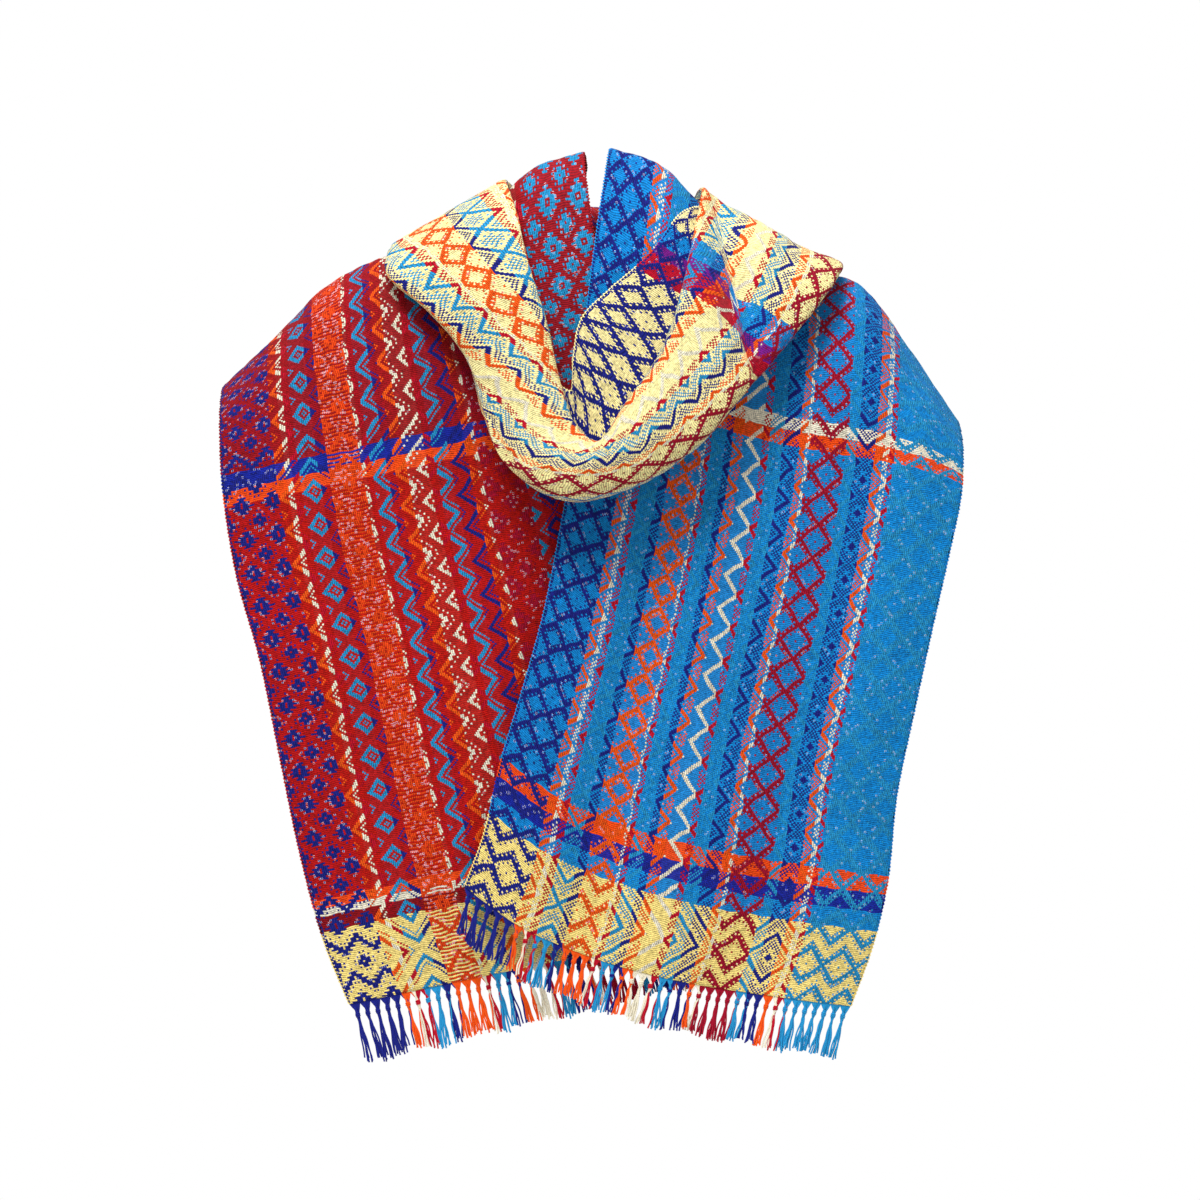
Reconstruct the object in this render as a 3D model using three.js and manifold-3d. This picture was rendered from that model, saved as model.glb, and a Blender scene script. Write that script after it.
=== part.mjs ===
// A handwoven scarf in a once-around wrap, hollow, as it hangs round a neck.
// Millimetres, +Z up, front towards -Y. The origin is the middle of the neck base.
//
// The scarf is one long strip. It is followed here from the hem of the red end, up the front,
// over one shoulder, round the back, across the front as a cowl, round the back again and down
// the front as the blue end. Eight lines run along the strip: line 0 is the navy selvedge and
// line 7 the turquoise selvedge. A station is one place along the strip, with a point on each line.
import * as THREE from 'three';
import { mergeVertices } from 'three/addons/utils/BufferGeometryUtils.js';
import Module from 'manifold-3d';

// Driving dimensions
const CLOTH_WALL = 1.6;
const SEAM_GAP = 0.4;
const LINES = 8;
const BUNDLES = 40;
// Length of the fringe at the navy and the turquoise selvedge
const RED_FRINGE = [34, 28];
const BLUE_FRINGE = [25, 29];
const STRIP_DEPTH = 2.6;

// Height of the two shoulder lines at each distance out from the neck: [out, height]
const RED_SHOULDER = [[0, 67], [18, 66.5], [36, 57], [46, 45], [54, 32.5], [66, 26], [85, 17], [114, 0],
  [127, 0], [134, 3], [151, -5.5], [171, -24], [184, -37], [199, -52], [214, -64], [227, -79]];
const BLUE_SHOULDER = [[0, 69], [14, 69], [29, 65], [45, 57], [57, 45.5], [66, 33], [90, 18],
  [118, 0], [142, -10], [153, -9], [163, -14], [172, -23], [185, -41], [198, -60], [210, -79], [222, -97],
  [227, -106]];

// Rows of an end panel, from its hem to just behind the shoulder. navy and turquoise give x, y, z
// of the two selvedges, bow how far the middle stands forward, follow how much of the shoulder's
// curve the row keeps, wave how far the soft upright waves stand out.
const PANEL_COLUMNS = ['navy', 'turquoise', 'bow', 'follow', 'wave'];
const RED_PANEL = [
  [[-147, -46, -452], [98, -41, -401], 2, 0, 3.0],
  [[-163, -47, -412], [88, -41, -360], 2, 0, 3.0],
  [[-177, -47, -360], [76, -41, -305], 2, 0, 2.5],
  [[-188.5, -47, -305], [64, -41, -250], 2, 0.02, 2.0],
  [[-201.5, -46, -242], [50, -41, -187], 2, 0.05, 1.5],
  [[-215.5, -44, -192], [36, -40, -122], 2, 0.12, 1.0],
  [[-224, -41, -140], [22, -38, -58], 1, 0.35, 0.5],
  [[-226, -34, -107], [3, -32, 4], 0, 0.7, 0],
  [[-226, -20, -88], [-3.5, -20, 46], 0, 0.95, 0],
  [[-224, 0, -78], [-5.5, 0, 67], 0, 1, 0],
  [[-217, 21, -86], [-4, 22, 56], 0, 1, 0],
];
const BLUE_PANEL = [
  [[-77, -58, -381], [156.6, -52, -453], 2, 0, 4.0],
  [[-65, -58, -348], [170, -52, -416], 2, 0, 4.0],
  [[-55, -57, -305], [179, -52, -377], 2, 0, 3.5],
  [[-42, -56, -262], [184.5, -51, -325], 2, 0, 3.0],
  [[-29, -55, -215], [195, -50, -275], 2, 0.02, 2.5],
  [[-19, -53, -165], [206, -49, -225], 2, 0.08, 2.0],
  [[-10, -51, -112], [217, -46, -178], 1, 0.25, 1.0],
  [[-5, -46, -50], [224, -42, -146], 1, 0.5, 0.5],
  [[2, -36, 8], [225.5, -34, -124], 0, 0.8, 0],
  [[7.5, -21, 46], [224.5, -20, -111], 0, 0.95, 0],
  [[11.5, 0, 69], [222, 0, -104], 0, 1, 0],
  [[14, 22, 58], [214, 22, -112], 0, 1, 0],
];
// The blue hem sags between its corners, most at this share of its width from the navy selvedge.
const HEM_SAG = 19;
const HEM_SAG_AT = 0.38;

// Rows of the cowl, from just behind the red shoulder to just behind the blue one. crest is the
// fold nearest the neck, edge the outer fold, navy the selvedge. bulge is how far the face between
// the folds stands out, tuck how much of the face the turned-under turquoise side runs back, under
// how far it lies behind the face, dipIn and dip where the hollow behind the crest lies.
const COWL_COLUMNS = ['crest', 'edge', 'navy', 'bulge', 'tuck', 'under', 'dipIn', 'dip'];
const COWL = [
  [[-46, 30, 39], [-114, 30, 0], [-70, 26, 21], 2, 0.35, 5, 0.06, 5],
  [[-53, 0, 49.5], [-121, 0, 10], [-79, 0, 31], 1, 0.35, 5, 0.06, 5],
  [[-46, -35, 27], [-124, -36, -8], [-70, -34, 9], 4, 0.38, 7, 0.06, 5],
  [[-39, -52, -3], [-98, -54, -31], [-57, -44, -13], 6, 0.45, 9, 0.08, 6],
  [[-28, -60, -38], [-76, -62, -58], [-42, -50, -47], 8, 0.5, 11, 0.1, 8],
  [[-19, -69, -78], [-64, -70, -92], [-30, -55, -68], 9, 0.6, 15, 0.14, 12],
  [[-10, -77, -101], [-50, -80, -123], [-20, -56, -76], 9, 0.7, 22, 0.3, 18],
  [[3.6, -83, -110], [-18, -90, -143], [-13, -56, -80], 9, 0.8, 29, 0.45, 20],
  [[20, -82, -89], [24, -91, -136], [-11, -55, -59], 9, 0.8, 28, 0.3, 18],
  [[38, -78, -65], [62, -85, -113], [-6, -52, -36], 8, 0.75, 25, 0.22, 15],
  [[50, -71, -39], [93, -76, -78], [10, -48, -19], 7, 0.7, 22, 0.12, 13],
  [[58, -58, -6], [120, -60, -46], [36, -45, 4], 6, 0.6, 16, 0.08, 9],
  [[64, -38, 23], [145, -40, -14], [55, -33, 29], 3, 0.5, 9, 0.06, 6],
  [[68, 0, 45.5], [152, 0, -2], [77, 0, 33], -1.5, 0.4, 5, 0.05, 5],
  [[61, 30, 35], [143, 30, -14], [70, 25, 24], 0, 0.4, 5, 0.05, 5],
];

// The two bands across the back. A spread row has both selvedges, how far the middle bows out and
// how far the gathers stand out. A rolled row has the middle of the roll, its radius and its turn.
const RED_BAND = [
  { navy: [-150, 34, -103], turquoise: [-12, 36, 38], bow: 6, gather: 3 },
  { navy: [-84, 44, -62], turquoise: [-20, 46, 34], bow: 8, gather: 3 },
  { middle: [-32, 52, 11], radius: 25, turn: 0 },
  { middle: [-10, 55, 13], radius: 23, turn: 55 },
  { middle: [14, 60, 13], radius: 23, turn: 120 },
  { navy: [33, 70, 36], turquoise: [46, 64, -30], bow: -9, gather: 0.5 },
  { navy: [52, 54, 40], turquoise: [96, 60, -40], bow: 2, gather: 1.5 },
];
const BLUE_BAND = [
  { navy: [-36, 73, 24], turquoise: [-96, 64, -42], bow: 8, gather: 2 },
  { navy: [-24, 88, -12], turquoise: [-60, 72, -92], bow: 8, gather: 5 },
  { navy: [2, 76, -36], turquoise: [-4, 54, -140], bow: 8, gather: 6 },
  { navy: [26, 50, -32], turquoise: [64, 46, -158], bow: 6, gather: 5 },
  { navy: [24, 36, 14], turquoise: [146, 38, -152], bow: 4, gather: 3 },
];
const GATHERS = 3;
const ROLL_ARC = 250;

// Largest soft folds pressed into a stretch: from and to are [x, z] of the trough's line, half is
// half its width, deep how far it goes in.
const COWL_FOLDS = [
  { from: [78, 30], to: [96, -70], half: 13, deep: 8 },
  { from: [-58, -84], to: [-53, -136], half: 9, deep: 4 },
  { from: [-68, -50], to: [-72, 6], half: 12, deep: -4 },
];
const PANEL_FOLDS = [
  { from: [-150, -60], to: [-120, -330], half: 22, deep: 3.5 },
  { from: [120, -40], to: [70, -300], half: 20, deep: 4 },
  { from: [190, -130], to: [150, -380], half: 18, deep: -3 },
];

const vector = ([x, y, z]) => new THREE.Vector3(x, y, z);
const share = (i, count) => i / (count - 1);

/** Reads a table row by its column names. */
function named(columns, row) {
  return Object.fromEntries(columns.map((name, i) => [name, row[i]]));
}

/** Height of a shoulder line at a distance out from the neck. */
function shoulderHeight(line, out) {
  const last = line.findIndex(([at]) => at >= out);
  if (last <= 0) return last === 0 ? line[0][1] : line.at(-1)[1];
  const [outA, heightA] = line[last - 1];
  const [outB, heightB] = line[last];
  return heightA + (heightB - heightA) * (out - outA) / (outB - outA);
}

/** One row of an end panel: eight points spread evenly between the selvedges. */
function panelStation(row, shoulder, ridge, hemSag = 0) {
  const { navy, turquoise, bow, follow, wave } = named(PANEL_COLUMNS, row);
  const points = [];
  for (let i = 0; i < LINES; i++) {
    const u = share(i, LINES);
    const point = vector(navy).lerp(vector(turquoise), u);
    const ridgePoint = vector(ridge.navy).lerp(vector(ridge.turquoise), u);
    const rise = shoulderHeight(shoulder, Math.abs(ridgePoint.x)) - ridgePoint.z;
    point.z += follow * rise;
    point.y -= bow * 4 * u * (1 - u) + wave * Math.sin(2.5 * 2 * Math.PI * u);
    point.z -= hemSag * Math.sin(Math.PI * u ** (Math.log(0.5) / Math.log(HEM_SAG_AT)));
    points.push(point);
  }
  return points;
}

/** One row of the cowl: crest and edge folds, with both selvedges turned behind the face. */
function cowlStation(row, along) {
  const { crest, edge, navy, bulge, tuck, under, dipIn, dip } = named(COWL_COLUMNS, row);
  const [c, e, n] = [crest, edge, navy].map(vector);
  const out = along.clone().cross(c.clone().sub(e)).normalize();
  const inward = new THREE.Vector3(-out.x, -out.y, -out.z * Math.abs(out.z)).normalize();
  const between = (u) => c.clone().lerp(e, u);
  const behind = (u, far) => between(u).addScaledVector(inward, far);
  return [
    n,
    behind(dipIn, dip),
    c,
    between(1 / 3).addScaledVector(out, bulge),
    between(2 / 3).addScaledVector(out, bulge),
    e,
    behind(1 - tuck * 0.1, under),
    behind(1 - tuck, under + 1),
  ];
}

/** One row of a back band, spread between its selvedges. */
function spreadStation({ navy, turquoise, bow, gather }) {
  const points = [];
  for (let i = 0; i < LINES; i++) {
    const u = share(i, LINES);
    const point = vector(navy).lerp(vector(turquoise), u);
    point.y += bow * 4 * u * (1 - u) + gather * Math.sin(GATHERS * 2 * Math.PI * u);
    points.push(point);
  }
  return points;
}

/** One row of a back band, rolled nearly shut. At no turn the navy selvedge is at the bottom. */
function rolledStation({ middle, radius, turn }) {
  const points = [];
  for (let i = 0; i < LINES; i++) {
    const angle = THREE.MathUtils.degToRad(turn + ROLL_ARC * (share(i, LINES) - 0.5));
    const offset = new THREE.Vector3(0, Math.cos(angle), Math.sin(angle));
    points.push(vector(middle).addScaledVector(offset, radius));
  }
  return points;
}

function panelStations(rows, shoulder, ridgeRow, hemSag) {
  const ridge = named(PANEL_COLUMNS, rows[ridgeRow]);
  return rows.map((row, i) => panelStation(row, shoulder, ridge, i < 4 ? hemSag * (1 - i / 4) : 0));
}

function cowlStations() {
  const middle = (row) => vector(row[0]).add(vector(row[1])).multiplyScalar(0.5);
  return COWL.map((row, i) => {
    const before = middle(COWL[Math.max(i - 1, 0)]);
    const after = middle(COWL[Math.min(i + 1, COWL.length - 1)]);
    return cowlStation(row, after.sub(before).normalize());
  });
}

const bandStation = (row) => (row.navy ? spreadStation(row) : rolledStation(row));

// All stations in order, and where each stretch starts and ends.
const redPanel = panelStations(RED_PANEL, RED_SHOULDER, RED_PANEL.length - 2, 0);
const bluePanel = panelStations(BLUE_PANEL, BLUE_SHOULDER, BLUE_PANEL.length - 2, HEM_SAG).reverse();
const cowl = cowlStations().reverse();
const redBand = RED_BAND.map(bandStation);
const blueBand = BLUE_BAND.map(bandStation);
const STATIONS = [...redPanel, ...redBand, ...cowl, ...blueBand, ...bluePanel];
const RED_SHOULDER_AT = redPanel.length - 1;
const COWL_FROM = redPanel.length + redBand.length;
const COWL_TO = COWL_FROM + cowl.length - 1;
const BLUE_SHOULDER_AT = COWL_TO + blueBand.length + 1;

/**
 * Points on the strip between two stations and the normals there: a row for each step along, a
 * column for each step across. The normals also look one step past each end.
 */
function stretch(from, to, perStation, perLine) {
  const across = (LINES - 1) * perLine;
  const rows = STATIONS.map((points) => {
    const curve = new THREE.CatmullRomCurve3(points, false, 'centripetal');
    return Array.from({ length: across + 1 }, (_, i) => curve.getPoint(i / across));
  });
  const curves = rows[0].map((_, column) => (
    new THREE.CatmullRomCurve3(rows.map((row) => row[column]), false, 'centripetal')));
  const last = STATIONS.length - 1;
  const rowAt = (station) => {
    const t = THREE.MathUtils.clamp(station / last, 0, 1);
    return curves.map((curve) => curve.getPoint(t));
  };
  const steps = (to - from) * perStation;
  const wide = Array.from({ length: steps + 3 }, (_, i) => rowAt(from + (i - 1) / perStation));
  return { grid: wide.slice(1, -1), normals: gridNormals(wide).slice(1, -1) };
}

/** Normals of a grid, from its rows and columns. */
function gridNormals(grid) {
  const pick = (list, i) => list[THREE.MathUtils.clamp(i, 0, list.length - 1)];
  return grid.map((row, r) => row.map((_, c) => {
    const along = pick(grid, r + 1)[c].clone().sub(pick(grid, r - 1)[c]);
    const across = pick(row, c + 1).clone().sub(pick(row, c - 1));
    return along.cross(across).normalize();
  }));
}

/** Presses soft troughs into a grid's face. sense is 1 where the normals point to the front. */
function pressFolds({ grid, normals }, folds, sense, columnFrom = 0, columnTo = Infinity) {
  for (const { from, to, half, deep } of folds) {
    const start = new THREE.Vector2(...from);
    const run = new THREE.Vector2(...to).sub(start);
    grid.forEach((row, r) => row.forEach((point, c) => {
      if (c < columnFrom || c > columnTo) return;
      const spot = new THREE.Vector2(point.x, point.z).sub(start);
      const reach = THREE.MathUtils.clamp(spot.dot(run) / run.lengthSq(), 0, 1);
      const aside = spot.addScaledVector(run, -reach).length();
      const fade = Math.sin(Math.PI * (0.12 + 0.76 * reach)) * Math.exp(-((aside / half) ** 2));
      point.addScaledVector(normals[r][c], -sense * deep * fade);
    }));
  }
}

/** Draws the first and last rows in, so that the next stretch lies a seam gap away. */
function parted({ grid, normals }) {
  const pull = (row, next) => row.forEach((point, c) => {
    const step = next[c].clone().sub(point);
    point.addScaledVector(step.normalize(), SEAM_GAP / 2);
  });
  pull(grid[0], grid[1]);
  pull(grid.at(-1), grid.at(-2));
  return { grid, normals };
}

/** A closed wall of cloth round a grid of points. */
function clothWall({ grid, normals }) {
  const width = grid[0].length;
  const face = (side) => grid.flatMap((row, r) => row.map((point, c) => (
    point.clone().addScaledVector(normals[r][c], side * CLOTH_WALL / 2))));
  const points = [...face(1), ...face(-1)];
  const innerFrom = grid.length * width;
  const triangles = [];
  const quad = (a, b, c, d) => triangles.push(a, b, c, a, c, d);
  const at = (r, c) => r * width + c;
  for (let r = 0; r + 1 < grid.length; r++) {
    for (let c = 0; c + 1 < width; c++) {
      quad(at(r, c), at(r + 1, c), at(r + 1, c + 1), at(r, c + 1));
      quad(innerFrom + at(r, c), innerFrom + at(r, c + 1), innerFrom + at(r + 1, c + 1),
        innerFrom + at(r + 1, c));
    }
  }
  const rim = [];
  for (let c = 0; c < width; c++) rim.push(at(0, c));
  for (let r = 1; r < grid.length; r++) rim.push(at(r, width - 1));
  for (let c = width - 2; c >= 0; c--) rim.push(at(grid.length - 1, c));
  for (let r = grid.length - 2; r > 0; r--) rim.push(at(r, 0));
  rim.forEach((a, i) => {
    const b = rim[(i + 1) % rim.length];
    quad(a, b, innerFrom + b, innerFrom + a);
  });
  return indexed(points, triangles);
}

function indexed(points, triangles) {
  const geometry = new THREE.BufferGeometry();
  geometry.setAttribute('position',
    new THREE.Float32BufferAttribute(points.flatMap((point) => point.toArray()), 3));
  geometry.setIndex(triangles);
  return geometry;
}

/** A closed tube of three-sided rings along a path: rings are [centre, half width, half depth]. */
function lock(rings, side, front) {
  const points = [];
  const triangles = [];
  for (const [centre, halfWidth, halfDepth] of rings) {
    for (const [a, b] of LOCK_CORNERS) {
      points.push(centre.clone().addScaledVector(side, a * halfWidth)
        .addScaledVector(front, b * halfDepth));
    }
  }
  for (let ring = 0; ring + 1 < rings.length; ring++) {
    for (let corner = 0; corner < 3; corner++) {
      const a = ring * 3 + corner;
      const b = ring * 3 + (corner + 1) % 3;
      triangles.push(a, b + 3, a + 3, a, b, b + 3);
    }
  }
  const end = (rings.length - 1) * 3;
  triangles.push(0, 2, 1, end, end + 1, end + 2);
  return indexed(points, triangles);
}

const wasm = await Module();
wasm.setup();

function toSolid(geometry) {
  const bare = geometry.clone();
  for (const name of ['normal', 'uv']) bare.deleteAttribute(name);
  const merged = mergeVertices(bare, 1e-4);
  const mesh = new wasm.Mesh({
    numProp: 3,
    vertProperties: new Float32Array(merged.attributes.position.array),
    triVerts: new Uint32Array(merged.index.array),
  });
  return new wasm.Manifold(mesh);
}

function toGeometry(solid) {
  const { vertProperties, triVerts } = solid.getMesh();
  const geometry = new THREE.BufferGeometry();
  geometry.setAttribute('position', new THREE.BufferAttribute(vertProperties, 3));
  geometry.setIndex(new THREE.BufferAttribute(triVerts, 1));
  return geometry;
}

// Corners of a lock's section, in shares of its half width and half depth.
const LOCK_CORNERS = [[-1, -0.8], [1, -0.8], [0, 1.2]];
// A bundle's outline down its length: [share of the length, half width, half depth]
const BUNDLE_FORM = [[-0.05, 0.9, 0.7], [0.06, 0.8, 0.7], [0.13, 1.9, 1.7], [0.2, 1.0, 0.9],
  [1, 2.3, 1.4]];
const STRIP_STEPS = 14;
const HANG = 0.35;

/** The fringe past a hem: a narrow strip with the knotted bundles fused to it. */
function fringe(hemRow, nextRow, lengths) {
  const hem = new THREE.CatmullRomCurve3(hemRow, false, 'centripetal');
  const inside = new THREE.CatmullRomCurve3(nextRow, false, 'centripetal');
  const down = new THREE.Vector3(0, 0, -1);
  const hangAt = (u) => {
    const warp = hem.getPoint(u).sub(inside.getPoint(u)).normalize();
    return warp.lerp(down, HANG).normalize();
  };
  const past = (u, far) => hem.getPoint(u).addScaledVector(hangAt(u), far);
  const stripRow = (far) => Array.from({ length: STRIP_STEPS + 1 }, (_, i) => (
    past(THREE.MathUtils.lerp(0.004, 0.996, i / STRIP_STEPS), far)));
  const grid = [stripRow(SEAM_GAP), stripRow(SEAM_GAP + STRIP_DEPTH)];
  let solid = toSolid(clothWall({ grid, normals: gridNormals(grid) }));
  for (let i = 0; i < BUNDLES; i++) {
    const u = (i + 0.5) / BUNDLES;
    const hang = hangAt(u);
    const front = hang.clone().cross(hem.getTangent(u)).normalize();
    const side = front.clone().cross(hang);
    const length = THREE.MathUtils.lerp(...lengths, u) * (1 + 0.05 * Math.sin(7.3 * i));
    const rings = BUNDLE_FORM.map(([part, halfWidth, halfDepth]) => [
      past(u, SEAM_GAP + STRIP_DEPTH + part * length), halfWidth, halfDepth]);
    solid = solid.add(toSolid(lock(rings, side, front)));
  }
  return toGeometry(solid);
}

const scarf = new THREE.Group();

function addPiece(name, geometry, color, roughness) {
  const material = new THREE.MeshStandardMaterial({ color, roughness, metalness: 0 });
  const mesh = new THREE.Mesh(geometry, material);
  mesh.name = name;
  scarf.add(mesh);
}

const PANEL_ACROSS = 3;
const COWL_ACROSS = 4;

const redEnd = stretch(0, RED_SHOULDER_AT, 2, PANEL_ACROSS);
const redBack = stretch(RED_SHOULDER_AT, COWL_FROM, 3, PANEL_ACROSS);
const cowlLoop = stretch(COWL_FROM, COWL_TO, 2, COWL_ACROSS);
const blueBack = stretch(COWL_TO, BLUE_SHOULDER_AT, 2, PANEL_ACROSS);
const blueEnd = stretch(BLUE_SHOULDER_AT, STATIONS.length - 1, 2, PANEL_ACROSS);
pressFolds(redEnd, PANEL_FOLDS, -1);
pressFolds(cowlLoop, COWL_FOLDS, 1, 2 * COWL_ACROSS, 5 * COWL_ACROSS);
pressFolds(blueEnd, PANEL_FOLDS, 1);

addPiece('red_fringe', fringe(redEnd.grid[0], redEnd.grid[1], RED_FRINGE), 0xd03a28, 0.85);
addPiece('blue_fringe', fringe(blueEnd.grid.at(-1), blueEnd.grid.at(-2), BLUE_FRINGE), 0x2f6fc0, 0.85);
addPiece('red_end', clothWall(parted(redEnd)), 0xba1c1b, 0.9);
addPiece('red_back_band', clothWall(parted(redBack)), 0xb03028, 0.9);
addPiece('cowl', clothWall(parted(cowlLoop)), 0xf3d98a, 0.9);
addPiece('blue_back_band', clothWall(parted(blueBack)), 0xe2cf90, 0.9);
addPiece('blue_end', clothWall(parted(blueEnd)), 0x2f80d0, 0.9);

export default scarf;
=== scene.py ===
"""A handwoven scarf in a once-around wrap: its cloth, selvedges and knotted fringe.

The cloth is one strip. Eight lines run along it, from the navy selvedge to the turquoise one, and
stations lie across it, from the red hem to the blue hem, as in the part's source. Lengths are in
millimetres until a mesh is made.
"""
import math
import bpy
import numpy as np
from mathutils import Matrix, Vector


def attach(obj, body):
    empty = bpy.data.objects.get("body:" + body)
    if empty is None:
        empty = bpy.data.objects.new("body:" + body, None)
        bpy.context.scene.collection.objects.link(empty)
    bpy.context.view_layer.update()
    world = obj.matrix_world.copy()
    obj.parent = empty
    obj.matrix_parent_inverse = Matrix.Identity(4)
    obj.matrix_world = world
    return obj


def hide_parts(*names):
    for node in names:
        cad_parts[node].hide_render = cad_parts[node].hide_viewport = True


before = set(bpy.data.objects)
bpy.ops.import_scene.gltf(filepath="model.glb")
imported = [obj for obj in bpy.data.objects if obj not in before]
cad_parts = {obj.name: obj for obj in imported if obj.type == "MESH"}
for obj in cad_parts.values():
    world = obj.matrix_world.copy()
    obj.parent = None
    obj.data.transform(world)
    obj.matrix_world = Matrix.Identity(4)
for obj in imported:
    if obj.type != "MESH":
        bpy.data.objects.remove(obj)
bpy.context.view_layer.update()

# ---------------------------------------------------------------- the strip's driving tables
LINES = 8
WIDTH = 250.0
WALL = 1.5
SEAM_GAP = 0.4
# Samples between two stations, and between two lines
ROWS = 24
ACROSS = 16
MM_IN_METRE = 1000

RED_SHOULDER = [[0, 67], [18, 66.5], [36, 57], [46, 45], [54, 32.5], [66, 26], [85, 17], [114, 0],
                [127, 0], [134, 3], [151, -5.5], [171, -24], [184, -37], [199, -52], [214, -64],
                [227, -79]]
BLUE_SHOULDER = [[0, 69], [14, 69], [29, 65], [45, 57], [57, 45.5], [66, 33], [90, 18], [118, 0],
                 [142, -10], [153, -9], [163, -14], [172, -23], [185, -41], [198, -60],
                 [210, -79], [222, -97], [227, -106]]
# Rows of an end panel from its hem: navy selvedge, turquoise selvedge, bow, how far the row follows
# the shoulder line, wave
RED_PANEL = [
    [[-147, -46, -452], [98, -41, -401], 2, 0, 3.0],
    [[-163, -47, -412], [88, -41, -360], 2, 0, 3.0],
    [[-177, -47, -360], [76, -41, -305], 2, 0, 2.5],
    [[-188.5, -47, -305], [64, -41, -250], 2, 0.02, 2.0],
    [[-201.5, -46, -242], [50, -41, -187], 2, 0.05, 1.5],
    [[-215.5, -44, -192], [36, -40, -122], 2, 0.12, 1.0],
    [[-224, -41, -140], [22, -38, -58], 1, 0.35, 0.5],
    [[-226, -34, -107], [3, -32, 4], 0, 0.7, 0],
    [[-226, -20, -88], [-3.5, -20, 46], 0, 0.95, 0],
    [[-224, 0, -78], [-5.5, 0, 67], 0, 1, 0],
    [[-217, 21, -86], [-4, 22, 56], 0, 1, 0],
]
BLUE_PANEL = [
    [[-77, -58, -381], [156.6, -52, -453], 2, 0, 4.0],
    [[-65, -58, -348], [170, -52, -416], 2, 0, 4.0],
    [[-55, -57, -305], [179, -52, -377], 2, 0, 3.5],
    [[-42, -56, -262], [184.5, -51, -325], 2, 0, 3.0],
    [[-29, -55, -215], [195, -50, -275], 2, 0.02, 2.5],
    [[-19, -53, -165], [206, -49, -225], 2, 0.08, 2.0],
    [[-10, -51, -112], [217, -46, -178], 1, 0.25, 1.0],
    [[-5, -46, -50], [224, -42, -146], 1, 0.5, 0.5],
    [[2, -36, 8], [225.5, -34, -124], 0, 0.8, 0],
    [[7.5, -21, 46], [224.5, -20, -111], 0, 0.95, 0],
    [[11.5, 0, 69], [222, 0, -104], 0, 1, 0],
    [[14, 22, 58], [214, 22, -112], 0, 1, 0],
]
PANEL_HALF_WAVES = 5
HEM_SAG = 19
HEM_SAG_AT = 0.38
SAGGING_ROWS = 4
# Rows of the cowl: crest, edge, navy selvedge, bulge, tuck, under, dip in, dip
COWL = [
    [[-46, 30, 39], [-114, 30, 0], [-70, 26, 21], 2, 0.35, 5, 0.06, 5],
    [[-53, 0, 49.5], [-121, 0, 10], [-79, 0, 31], 1, 0.35, 5, 0.06, 5],
    [[-46, -35, 27], [-124, -36, -8], [-70, -34, 9], 4, 0.38, 7, 0.06, 5],
    [[-39, -52, -3], [-98, -54, -31], [-57, -44, -13], 6, 0.45, 9, 0.08, 6],
    [[-28, -60, -38], [-76, -62, -58], [-42, -50, -47], 8, 0.5, 11, 0.1, 8],
    [[-19, -69, -78], [-64, -70, -92], [-30, -55, -68], 9, 0.6, 15, 0.14, 12],
    [[-10, -77, -101], [-50, -80, -123], [-20, -56, -76], 9, 0.7, 22, 0.3, 18],
    [[3.6, -83, -110], [-18, -90, -143], [-13, -56, -80], 9, 0.8, 29, 0.45, 20],
    [[20, -82, -89], [24, -91, -136], [-11, -55, -59], 9, 0.8, 28, 0.3, 18],
    [[38, -78, -65], [62, -85, -113], [-6, -52, -36], 8, 0.75, 25, 0.22, 15],
    [[50, -71, -39], [93, -76, -78], [10, -48, -19], 7, 0.7, 22, 0.12, 13],
    [[58, -58, -6], [120, -60, -46], [36, -45, 4], 6, 0.6, 16, 0.08, 9],
    [[64, -38, 23], [145, -40, -14], [55, -33, 29], 3, 0.5, 9, 0.06, 6],
    [[68, 0, 45.5], [152, 0, -2], [77, 0, 33], -1.5, 0.4, 5, 0.05, 5],
    [[61, 30, 35], [143, 30, -14], [70, 25, 24], 0, 0.4, 5, 0.05, 5],
]
# Where lines 1 to 5 lie in the same rows, in millimetres of cloth from the navy selvedge: dip,
# crest, the two on the face, outer edge
COWL_ACROSS = [
    [16, 33, 50, 72, 97], [15, 31, 49, 70, 92], [17, 35, 56, 83, 102], [24, 46, 64, 86, 103],
    [30, 55, 78, 93, 110], [36, 82, 101, 118, 138], [38, 99, 114, 134, 158],
    [36, 104, 126, 150, 176], [38, 101, 120, 137, 172], [40, 99, 121, 143, 173],
    [40, 98, 117, 136, 164], [40, 88, 106, 132, 168], [40, 78, 104, 138, 172],
    [36, 70, 100, 141, 174], [34, 66, 99, 138, 172]]
CREST_LINE = 2
EDGE_LINE = 5
# Rows of a back band: navy selvedge, turquoise selvedge, bow, gather; or middle, radius, turn of a
# roll
RED_BAND = [
    [[-150, 34, -103], [-12, 36, 38], 6, 3],
    [[-84, 44, -62], [-20, 46, 34], 8, 3],
    [[-32, 52, 11], 25, 0],
    [[-10, 55, 13], 23, 55],
    [[14, 60, 13], 23, 120],
    [[33, 70, 36], [46, 64, -30], -9, 0.5],
    [[52, 54, 40], [96, 60, -40], 2, 1.5],
]
BLUE_BAND = [
    [[-36, 73, 24], [-96, 64, -42], 8, 2],
    [[-24, 88, -12], [-60, 72, -92], 8, 5],
    [[2, 76, -36], [-4, 54, -140], 8, 6],
    [[26, 50, -32], [64, 46, -158], 6, 5],
    [[24, 36, 14], [146, 38, -152], 4, 3],
]
GATHERS = 3
ROLL_ARC = 250
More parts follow.
